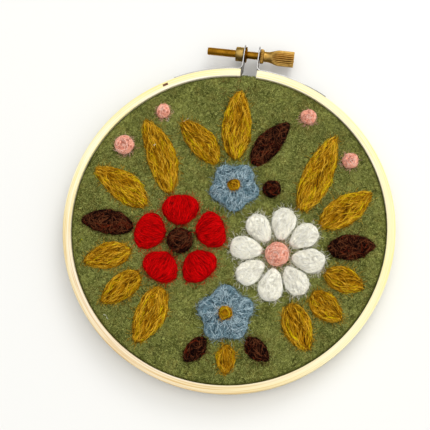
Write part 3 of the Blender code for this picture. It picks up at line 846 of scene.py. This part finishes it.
lug_outside = nut_low.x + NUT_BARREL_LENGTH
lug_inside = STRAP_THICKNESS / 2 - LUG_X  # the collar is spread against the lug
nut = turned("nut_brass", [
    (nut_high.x, NUT_COLLAR_RADIUS),
    (lug_inside, NUT_COLLAR_RADIUS),
    (lug_inside, NUT_NECK_RADIUS),
    (lug_outside, NUT_NECK_RADIUS),
    (lug_outside, NUT_BARREL_RADIUS),
    (nut_low.x, NUT_BARREL_RADIUS),
    (nut_low.x, NUT_BORE_RADIUS),
    (nut_high.x, NUT_BORE_RADIUS),
    (nut_high.x, NUT_COLLAR_RADIUS),
], 64, True, 0.18 * MM)
nut.data.materials.append(brass_finish("nut_brass", NUT_BRASS))
# The collar is painted in shade: all of the darker colour is mixed in there.
set_shade(nut.data, "dirt", [
    float(vertex.co.x > lug_inside - 0.05 * MM) for vertex in nut.data.vertices
])
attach(nut, "hoop")
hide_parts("nut")

# The thumb screw is brass too: a threaded rod, a knurled flange that bears on the right lug,
# and a waisted head that swells into a fluted grip.
screw_low, screw_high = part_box("thumb_screw")
ROD_CORE = 1.54 * MM
ROD_BRASS = (0.37, 0.177, 0.012, 1)
HEAD_BRASS = (0.56, 0.34, 0.085, 1)
THREAD_PITCH = 0.5 * MM
THREAD_SIDES = 24
FLANGE_START = 3.6 * MM
FLANGE_END = 5.1 * MM
FLANGE_RADIUS = 3.12 * MM
FLANGE_RIM = (0.35 * MM, 0.9 * MM)  # its full radius starts and ends this far along it
ROD_END = FLANGE_START - 0.1 * MM
FLANGE_DARKENING = 0.35  # how much of the darker colour is mixed in, from 0 to 1
KNURL_TEETH = 24
KNURL_DEPTH = 0.13
WAIST_RADIUS = 2.14 * MM
WAIST_END = 6.5 * MM
WAIST_DARKENING = 0.32
GRIP_START = 11.8 * MM
GRIP_RADIUS = 3.28 * MM
GRIP_STEPS = 18
FLUTES = 22
FLUTE_START = 8.4 * MM
FLUTE_DEPTH = 0.19
# Painted shade in the grooves of the knurl and the flutes.
GROOVE_SHADE = 0.5


def grip_rows():
    """The head from its waist to the grip's end: rows of (place along X, radius)."""
    rows = []
    for step in range(GRIP_STEPS + 1):
        share = step / GRIP_STEPS
        swell = share**2 * (3 - 2 * share)
        rows.append((WAIST_END + (GRIP_START - WAIST_END) * share,
                     WAIST_RADIUS + (GRIP_RADIUS - WAIST_RADIUS) * swell))
    rows += [(x, GRIP_RADIUS) for x in np.linspace(GRIP_START, screw_high.x, 7)[1:]]
    return rows


def thread_ridge():
    """The thread: a small triangle wound along the rod by a Screw modifier, its ends closed."""
    length = FLANGE_START - screw_low.x - 1.2 * MM
    bpy.ops.mesh.primitive_circle_add(
        vertices=3, radius=0.15 * MM, fill_type="NOTHING",
        location=(screw_low.x + 0.5 * MM, SCREW_Y, SCREW_Z + ROD_CORE),
        rotation=(math.pi / 2, 0, 0),
    )
    ridge = bpy.context.object
    bpy.ops.object.transform_apply(location=False, rotation=True, scale=True)
    ridge.data.transform(Matrix.Translation((0, 0, ROD_CORE)))
    ridge.location.z = SCREW_Z
    winding = ridge.modifiers.new("winding", "SCREW")
    winding.axis = "X"
    winding.screw_offset = THREAD_PITCH
    winding.iterations = round(length / THREAD_PITCH)
    winding.steps = winding.render_steps = THREAD_SIDES
    apply_all(ridge)
    bpy.ops.object.transform_apply()
    bpy.ops.object.mode_set(mode="EDIT")
    end_edit(fill=True)
    ridge.select_set(False)
    return ridge


thumb_screw = turned("thumb_screw_brass", [
    (screw_low.x, ROD_CORE),
    (FLANGE_START, ROD_CORE),
    (FLANGE_START, FLANGE_RADIUS * 0.94),
    (FLANGE_START + FLANGE_RIM[0], FLANGE_RADIUS),
    (FLANGE_START + FLANGE_RIM[1], FLANGE_RADIUS),
    (FLANGE_END, FLANGE_RADIUS * 0.86),
    (FLANGE_END + 0.1 * MM, WAIST_RADIUS),
    *grip_rows(),
], FLUTES * 12, False, 0.15 * MM)
# Painted shade in the knurl's and flutes' grooves; the flange is darkened evenly, and the waist too, less along
# the grip's swell.
dirt = []
for vertex in thumb_screw.data.vertices:
    x, y, z = vertex.co.x, vertex.co.y - SCREW_Y, vertex.co.z - SCREW_Z
    angle, radius = math.atan2(z, y), math.hypot(y, z)
    rise = min(1, max(0, x - FLUTE_START) / (GRIP_START - FLUTE_START))
    groove, depth, base_darkening = 0, 0, WAIST_DARKENING * (1 - rise)
    if x < ROD_END:
        base_darkening = 0
    elif x < FLANGE_END + 0.2 * MM:
        base_darkening = FLANGE_DARKENING
        if x < FLANGE_END - 0.3 * MM and radius > 0.85 * FLANGE_RADIUS:
            groove, depth = 0.5 - 0.5 * math.cos(KNURL_TEETH * angle), KNURL_DEPTH
    elif radius > WAIST_RADIUS and x > FLUTE_START:
        groove = math.sqrt(rise) * (0.5 + 0.5 * math.cos(FLUTES * angle)) ** 1.3
        depth = FLUTE_DEPTH
    shrink = 1 - depth * groove
    vertex.co.y, vertex.co.z = SCREW_Y + y * shrink, SCREW_Z + z * shrink
    dirt.append(base_darkening + (GROOVE_SHADE - base_darkening) * groove)
set_shade(thumb_screw.data, "dirt", dirt)
ridge = thread_ridge()
set_shade(ridge.data, "dirt", [0] * len(ridge.data.vertices))
thumb_screw.select_set(True)
ridge.select_set(True)
bpy.context.view_layer.objects.active = thumb_screw
bpy.ops.object.join()
thumb_screw.select_set(False)
thumb_screw.data.materials.append(brass_finish("head_brass", HEAD_BRASS))
thumb_screw.data.materials.append(brass_finish("rod_brass", ROD_BRASS))
for face in thumb_screw.data.polygons:
    face.material_index = int(face.center.x < ROD_END)
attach(thumb_screw, "screw")
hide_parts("thumb_screw")

# The posy is wool roving, needle-felted onto the ground: each petal, leaf and bud is a firm
# pad, matted by many pokes of the needle, and its fibres lie along it, round it or every way.
WOOL_SEED = 11
PAD_DROP = 0.27 * MM  # each pad meets what it was felted onto
LUMP_HEIGHT = 0.14 * MM
LUMP_SIZE = 2.4 * MM
EDGE_WAVER = 0.32 * MM  # how uneven the pads' outlines are
LAYERS = 7
PIT_DEPTH = 0.7 * MM
PAD_PIT, FIBRE_PIT = 0.7, 0.5  # shares of it that the pad and the fibres go down
PIT_HALF = (0.65 * MM, 0.24 * MM)  # along and across the fibres
PIT_INSIDE = 0.88  # none is nearer the edge than this share of the way
PIT_TURN = 0.25  # how much their headings stray from the fibres'
# Painted shade: the fibres are painted darker in the needle's pits.
PIT_SHADE = 1.2  # how much darker the fibres are in them
PART_REACH = (1.3 * MM, 0.45 * MM)  # the fibres part round a pit within this
PART_SHIFT = 0.26 * MM
WAVE = 3.2 * MM  # the fibres wander together over this size
BULGE_SIZE = 2 * MM
LOCK_SIZE = (5 * MM, 0.9 * MM)  # these three are along and across the fibres
TONE_SIZE = (4 * MM, 0.6 * MM)
BAND_SIZE = (9 * MM, 1.5 * MM)
FIBRE_SINK = 0.04 * MM
LOCK_SPREAD = 0.45  # how loosely the fibres gather in locks
LENGTHS, RISES, WIDTHS = (0.6, 1.25), (0.5, 1.2), (0.6, 1.6)  # shares of what the wool's row says
# The layer's share is painted shade: fibres in lower layers are darker.
LAYER_SHADE, PLACE_TONE, OWN_TONE = 0.30, 0.55, 0.20  # how much the tone varies by each
STREAK_EDGE = 3  # how sharply the streaks begin
STREAK_MOST = 0.95
WOOL_COLOURS = {  # deep, main, light, streak: linear red, green and blue; and the sheen
    "wool_mustard": ((0.060, 0.020, 0.0), (0.54, 0.248, 0.002), (0.90, 0.55, 0.04),
                     (0.84, 0.66, 0.003), 0.01),
    "wool_brown": ((0.002, 0.0, 0.0), (0.017, 0.002, 0.001), (0.19, 0.06, 0.022),
                   (0.22, 0.022, 0.004), 0.01),
    "wool_red": ((0.17, 0.0, 0.0), (0.635, 0.0, 0.0), (0.88, 0.002, 0.004),
                 (0.85, 0.04, 0.04), 0.0),
    "wool_white": ((0.60, 0.585, 0.51), (1.0, 0.965, 0.80), (1.0, 0.99, 0.93),
                   (0.60, 0.58, 0.51), 0.40),
    "wool_blue": ((0.022, 0.052, 0.068), (0.209, 0.335, 0.383), (0.60, 0.73, 0.77),
                  (0.70, 0.77, 0.78), 0.02),
    "wool_pink": ((0.42, 0.11, 0.068), (0.97, 0.475, 0.33), (1.0, 0.78, 0.66),
                  (0.93, 0.81, 0.74), 0.04),
}
Wool = namedtuple("Wool", "per_mm2 length width spread wander streaks pits relief contrast under")
WOOL_FIBRES = {
    # fibres per mm2, their length and half width in mm, how much each strays, how much they
    # wander together, share of streaks, pits per mm2, rise of the locks in mm, how much the
    # tone varies, tone of the matted wool under them
    "wool_mustard": Wool(4.5, 7.0, 0.085, 0.12, 0.60, 0.30, 0.32, 0.50, 1.3, 0.25),
    "wool_brown": Wool(4.8, 5.0, 0.090, 0.90, 0.90, 0.28, 0.24, 0.50, 1.9, 0.10),
    "wool_red": Wool(4.8, 6.0, 0.080, 0.10, 0.30, 0.07, 0.14, 0.35, 1.3, 0.30),
    "wool_white": Wool(5.6, 5.5, 0.085, 0.50, 0.80, 0.05, 0.26, 0.45, 1.0, 0.70),
    "wool_blue": Wool(5.4, 4.6, 0.085, 0.50, 0.95, 0.09, 0.40, 0.38, 1.7, 0.36),
    "wool_pink": Wool(5.6, 3.4, 0.075, 1.60, 0.80, 0.06, 0.38, 0.30, 1.6, 0.46),
}
FIBRE_POINTS = 5
HAIRS_PER_MM = 4.4  # fly-away hairs along each piece's edge
HAIR_POINTS = 4
HAIR_LENGTH = (1.0, 4.2)  # mm
HAIR_HALF_WIDTH = (0.03, 0.065)  # mm
HAIR_START = (0.78, 1.0)  # shares of the way to the edge
HAIR_TURN = 1.1  # how much their headings stray
HAIR_BEND = 0.45
HAIR_ARCH = (1.6, 0.10)  # shape and scale, in mm
HAIR_SPAN = 4.6 * MM  # on pieces with a smaller radius the hairs are shorter
SECTORS = 72
HEADINGS = (np.arange(SECTORS) + 0.5) / SECTORS * 2 * math.pi
wool_random = np.random.default_rng(WOOL_SEED)


def felted_pad(node):
    """The pad under the fibres: the CAD piece's mesh, merged and rounded to the same size."""
    mesh = frame["nodes"][node].data.copy()
    mesh.materials.clear()
    pad = added(node + "_wool", mesh)
    pad.select_set(True)
    bpy.context.view_layer.objects.active = pad
    bpy.ops.object.mode_set(mode="EDIT")
    bpy.ops.mesh.select_all(action="SELECT")
    bpy.ops.mesh.remove_doubles(threshold=0.001 * MM)
    bpy.ops.mesh.customdata_custom_splitnormals_clear()
    bpy.ops.mesh.tris_convert_to_quads()
    bpy.ops.object.mode_set(mode="OBJECT")
    rounding = pad.modifiers.new("rounding", "SUBSURF")
    rounding.levels = rounding.render_levels = 2
    apply_all(pad)
    pad.select_set(False)
    flat = np.empty(len(mesh.vertices) * 3, np.float32)
    mesh.vertices.foreach_get("co", flat)
    points = flat.reshape(-1, 3).astype(float)
    low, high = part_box(node)
    own_low, own_high = points.min(axis=0), points.max(axis=0)
    low = np.array(low) - (0, 0, PAD_DROP)
    return pad, low + (points - own_low) / (own_high - own_low) * (np.array(high) - low)


def polar(off):
    """The headings and lengths of these vectors in plan."""
    return np.arctan2(off[..., 1], off[..., 0]), np.linalg.norm(off, axis=-1)


def plan_outline(plan):
    """A piece's middle in plan, and how far it reaches from there on each heading."""
    middle = (plan.min(axis=0) + plan.max(axis=0)) / 2
    angle, radius = polar(plan - middle)
    turn = angle / (2 * math.pi)
    reach = np.zeros(SECTORS)
    np.maximum.at(reach, np.floor(turn * SECTORS).astype(int) % SECTORS, radius)
    far = reach > 0.5 * reach.mean()
    return middle, np.interp(HEADINGS, HEADINGS[far], reach[far], period=2 * math.pi)


def edge_share(places, outline):
    """How near places are to a piece's edge: 0 at its middle, 1 at the edge."""
    middle, reach = outline
    angle, radius = polar(places - middle)
    return radius / np.interp(angle, HEADINGS, reach, period=2 * math.pi)


def scattered(outline, count, low=0.0, high=0.98):
    """Places spread evenly over a piece, between two shares of the way to its edge."""
    middle, reach = outline
    angle = wool_random.uniform(0, 2 * math.pi, count * 12)
    radius = reach.max() * np.sqrt(wool_random.uniform(0, 1, count * 12))
    places = middle + radius[:, None] * headed(angle)
    share = edge_share(places, outline)
    return places[(share >= low) & (share <= high)][:count]


def lie_along(plan, middle, axis):
    """The lie of fibres that run the length of a piece and close up where it narrows."""
    ahead = np.array((math.cos(axis), math.sin(axis)))
    aside = np.array((-ahead[1], ahead[0]))
    t, s = (plan - middle) @ ahead, (plan - middle) @ aside
    edges = np.linspace(t.min(), t.max(), 21)
    centres = (edges[1:] + edges[:-1]) / 2
    inside = [s[(t >= a) & (t <= b)] for a, b in zip(edges, edges[1:])]
    upper = np.array([part.max() if len(part) else 0 for part in inside])
    lower = np.array([part.min() if len(part) else 0 for part in inside])
    half, mid = (upper - lower) / 2, (upper + lower) / 2
    half_slope, mid_slope = np.gradient(half, centres), np.gradient(mid, centres)

    def lie(places):
        t, s = (places - middle) @ ahead, (places - middle) @ aside
        share = (s - np.interp(t, centres, mid)) / (np.interp(t, centres, half) + 0.2 * MM)
        slope = (np.interp(t, centres, mid_slope)
                 + np.clip(share, -1, 1) * np.interp(t, centres, half_slope))
        return axis + np.arctan(np.clip(slope, -1, 1)), t, s

    return lie


def lie_round(middle, size, kind):
    """The lie of fibres that run out from a round piece's middle, or swirl round it."""
    def lie(places):
        angle, radius = polar(places - middle)
        if kind == "spoke":
            return angle, radius, angle * size
        return angle + math.pi / 2, angle * size, radius

    return lie


def grown(starts, lie, layer, length, spread, wander):
    """Plan paths that follow the lie one way or the other from their starts."""
    sign = wool_random.choice((-1.0, 1.0), len(starts))
    own = wool_random.normal(0, spread, len(starts))
    step = sign * length * wool_random.uniform(*LENGTHS, len(starts)) / (FIBRE_POINTS - 1)
    path = [starts]
    for _ in range(FIBRE_POINTS - 1):
        here = path[-1]
        turn = lie(here)[0] + own + wander * waver(*here.T / WAVE, layer)
        path.append(here + step[:, None] * headed(turn))
    return np.stack(path, axis=1)


def kept_inside(paths, outline):
    """Paths that would leave the piece are shortened to end about at its edge."""
    share = edge_share(paths, outline)
    first, most = share[:, 0], share.max(axis=1)
    limit = wool_random.normal(1.0, 0.05, len(paths))
    keep = np.where(most > limit, (limit - first) / (most - first + 1e-9), 1)
    return paths[:, :1] + (paths - paths[:, :1]) * np.clip(keep, 0.15, 1)[:, None, None]


def pit_pull(places, pits):
    """How deep in a needle's pit each place is, from 0 to 1, and the shift that parts it there."""
    spots, headings = pits
    off = places[..., None, :] - spots
    ahead = headed(headings)
    aside = np.stack((-ahead[:, 1], ahead[:, 0]), axis=-1)
    along, across = (off * ahead).sum(axis=-1), (off * aside).sum(axis=-1)
    depth = np.exp(-(along / PIT_HALF[0]) ** 2 - (across / PIT_HALF[1]) ** 2).max(axis=-1)
    pushed = (PART_SHIFT * np.sign(across)
              * np.exp(-(along / PART_REACH[0]) ** 2 - np.abs(across) / PART_REACH[1]))
    return depth, (pushed[..., None] * aside).sum(axis=-2)


def height_over(surface, places, ground):
    """The height of the surface over each place, or the ground's where it has none."""
    heights = np.empty(places.shape[:-1])
    for index in np.ndindex(heights.shape):
        x, y = places[index]
        hit = surface.ray_cast((x, y, 30 * MM), (0, 0, -1))[0]
        heights[index] = hit.z if hit else ground
    return heights


wool_slots = {
    part["node"]: part["material_slot"] for part in frame["record"]["subparts"]
    if part["material_slot"].startswith("wool_")
}
wool_finishes = {
    slot: fibre_finish(slot, *[(*colour, 1) for colour in colours], sheen)
    for slot, (*colours, sheen) in WOOL_COLOURS.items()
}
pads = {}
for node, slot in wool_slots.items():
    pad, points = felted_pad(node)
    plan = points[:, :2]
    outline = plan_outline(plan)
    middle, reach = outline
    low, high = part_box(node)
    if "petal" in node:
        bloom_low, bloom_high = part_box(node.split("_")[0] + "_centre")
        bloom_middle = np.array((bloom_low + bloom_high) / 2)[:2]
        lie = lie_along(plan, middle, math.atan2(*(middle - bloom_middle)[::-1]))
    elif "leaf" in node:
        values, vectors = np.linalg.eigh(np.cov((plan - middle).T))
        lie = lie_along(plan, middle, math.atan2(vectors[1, 1], vectors[0, 1]))
    else:
        lie = lie_round(middle, reach.mean(), "spoke" if "bloom" in node else "swirl")
    area = math.pi * (reach**2).mean() / MM**2
    wool = WOOL_FIBRES[slot]
    spots = scattered(outline, max(1, round(area * wool.pits)), 0, PIT_INSIDE)
    pits = (spots, lie(spots)[0] + wool_random.normal(0, PIT_TURN, len(spots)))
    share = edge_share(plan, outline)
    top = np.clip((points[:, 2] - low.z) / (high.z - low.z), 0, 1)
    lumps = waver(*plan.T / LUMP_SIZE, 3.0)
    pitted = PIT_DEPTH * PAD_PIT * pit_pull(plan, pits)[0]
    points[:, 2] += top * (LUMP_HEIGHT * (lumps - 0.6) - pitted)
    bulge = waver(*plan.T / BULGE_SIZE, 8.0) - 0.5
    points[:, :2] += ((plan - middle) / (np.linalg.norm(plan - middle, axis=1)[:, None] + 1e-9)
                      * (EDGE_WAVER * bulge * np.clip(share, 0, 1) ** 3)[:, None])
    pad.data.vertices.foreach_set("co", points.astype(np.float32).ravel())
    # Painted shade: the pad is darker in the needle's pits.
    under = wool.under * (1 - pit_pull(plan, pits)[0])
    pads[node] = (pad, points, outline, lie, area, pits, under)

all_points, all_faces = [], []
surfaces = {}
for node, (pad, points, *_) in pads.items():
    faces = [tuple(face.vertices) for face in pad.data.polygons]
    surfaces[node] = BVHTree.FromPolygons(points.tolist(), faces)
    all_faces += [tuple(corner + len(all_points) for corner in face) for face in faces]
    all_points += points.tolist()
every_pad = BVHTree.FromPolygons(all_points, all_faces)

for node, (pad, _, outline, lie, area, pits, under) in pads.items():
    slot = wool_slots[node]
    wool = WOOL_FIBRES[slot]
    starts = scattered(outline, 3 * round(area * wool.per_mm2))
    layer = wool_random.integers(0, LAYERS, len(starts)).astype(float)
    _, t, s = lie(starts)
    lock = waver(t / LOCK_SIZE[0], s / LOCK_SIZE[1], layer + 40)
    chosen = np.argsort(-lock + wool_random.normal(0, LOCK_SPREAD, len(lock)))[:len(starts) // 3]
    starts, layer, t, s = starts[chosen], layer[chosen], t[chosen], s[chosen]
    paths = grown(starts, lie, layer, wool.length * MM, wool.spread, wool.wander)
    paths = kept_inside(paths, outline)
    paths += pit_pull(paths, pits)[1]
    dip = pit_pull(paths, pits)[0]
    rise = wool.relief * MM * (layer / (LAYERS - 1)) * wool_random.uniform(*RISES, len(starts))
    arch = np.sin(np.linspace(0, math.pi, FIBRE_POINTS)) ** 0.6
    heights = height_over(surfaces[node], paths, FELT_FACE + 0.05 * MM)
    heights += rise[:, None] * arch * (1 - dip) - FIBRE_SINK - PIT_DEPTH * FIBRE_PIT * dip
    # Painted shade: fibres in lower layers are darker.
    tone = 0.5 + wool.contrast * (
        LAYER_SHADE * (layer / (LAYERS - 1) - 0.5)
        + PLACE_TONE * waver(t / TONE_SIZE[0], s / TONE_SIZE[1], np.floor(layer / 3) + 7)
        + wool_random.normal(0, OWN_TONE, len(starts)))
    # Painted shade: the fibres are darker in the pits.
    tints = np.clip(tone[:, None] - PIT_SHADE * dip, 0, 1)
    band = waver(t / BAND_SIZE[0], s / BAND_SIZE[1], layer % 3 + 90)
    share = np.clip((band - (1 - 2.2 * wool.streaks)) * STREAK_EDGE, 0, STREAK_MOST)
    half_widths = wool.width * MM * wool_random.uniform(*WIDTHS, len(starts))
    fibres = (raised(paths, heights), half_widths, tints, share)

    hair_count = round(2 * math.pi * outline[1].mean() / MM * HAIRS_PER_MM)
    starts = scattered(outline, hair_count, *HAIR_START)
    headings = polar(starts - outline[0])[0] + wool_random.normal(0, HAIR_TURN, len(starts))
    longest = np.clip(outline[1].mean() / HAIR_SPAN, 0.5, 1)
    paths = crimped_paths(
        wool_random, starts, headings,
        wool_random.uniform(*HAIR_LENGTH, len(starts)) * longest * MM, HAIR_BEND, HAIR_POINTS)
    arch = (np.sin(np.linspace(0.15, math.pi, HAIR_POINTS))
            * wool_random.gamma(*HAIR_ARCH, (len(starts), 1)))
    heights = height_over(every_pad, paths, FELT_FACE) + (arch + 0.04) * MM
    tints = wool_random.uniform(0.35, 1.0, len(starts))
    half_widths = wool_random.uniform(*HAIR_HALF_WIDTH, len(starts)) * MM
    hairs = (raised(paths, heights), half_widths, tints, np.zeros(len(starts)))
    add_fibres(pad.data, 0.8, (fibres, hairs), under)
    pad.data.materials.append(wool_finishes[slot])
    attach(pad, "hoop")
    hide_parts(node)

# A few stray fibres lie where they fell: white lint, one yellow speck, and a faint trail of
# reddish ones between the posy and the screw.
STRAY_SEED = 23
STRAY_POINTS = 6
STRAY_BEND = 0.2
STRAYS = (  # places, fibres at each, how far they scatter, length and half width in mm, tint
    (((-30.1, 40.6), (-23.1, 41.9), (-33.4, 29.2), (-42.1, -42.9)), 2, 0.15, 1.5, 0.09, 1.0),
    (((-58.0, -13.9),), 4, 0.25, 1.0, 0.09, 0.5),
    (((-10.6, 60.2), (-5.2, 60.9), (-0.6, 58.7), (-7.3, 54.8), (-3.3, 61.5), (-5.0, 50.6)),
     4, 1.0, 3.2, 0.05, 0.0),
)
stray_x, stray_y, scatter, stray_length, stray_width, stray_tint = np.array([
    (*place, *rest) for places, count, *rest in STRAYS for place in places for _ in range(count)
]).T
stray_random = np.random.default_rng(STRAY_SEED)
stray_starts = np.stack((stray_x, stray_y), axis=1) * MM
stray_starts += stray_random.normal(0, 1, stray_starts.shape) * scatter[:, None] * MM
stray_plan = crimped_paths(
    stray_random, stray_starts, stray_random.uniform(0, 2 * math.pi, len(stray_starts)),
    stray_random.uniform(0.8, 1.2, len(stray_starts)) * stray_length * MM, STRAY_BEND, STRAY_POINTS,
)
stray_plan += (0, HOOP_Y)
stray_heights = height_over(every_pad, stray_plan, FELT_FACE) + (
    0.10 + 0.25 * np.sin(np.linspace(0, math.pi, STRAY_POINTS))) * MM
stray_finish = fibre_finish("stray_fibres", (0.20, 0.05, 0.015, 1), (0.62, 0.66, 0.02, 1),
                            (0.95, 0.95, 0.85, 1), (1, 1, 1, 1), 0.0)
fibre_piece(
    "stray_fibres", raised(stray_plan, stray_heights), stray_width * MM, stray_tint,
    np.zeros(len(stray_tint)), stray_finish,
)
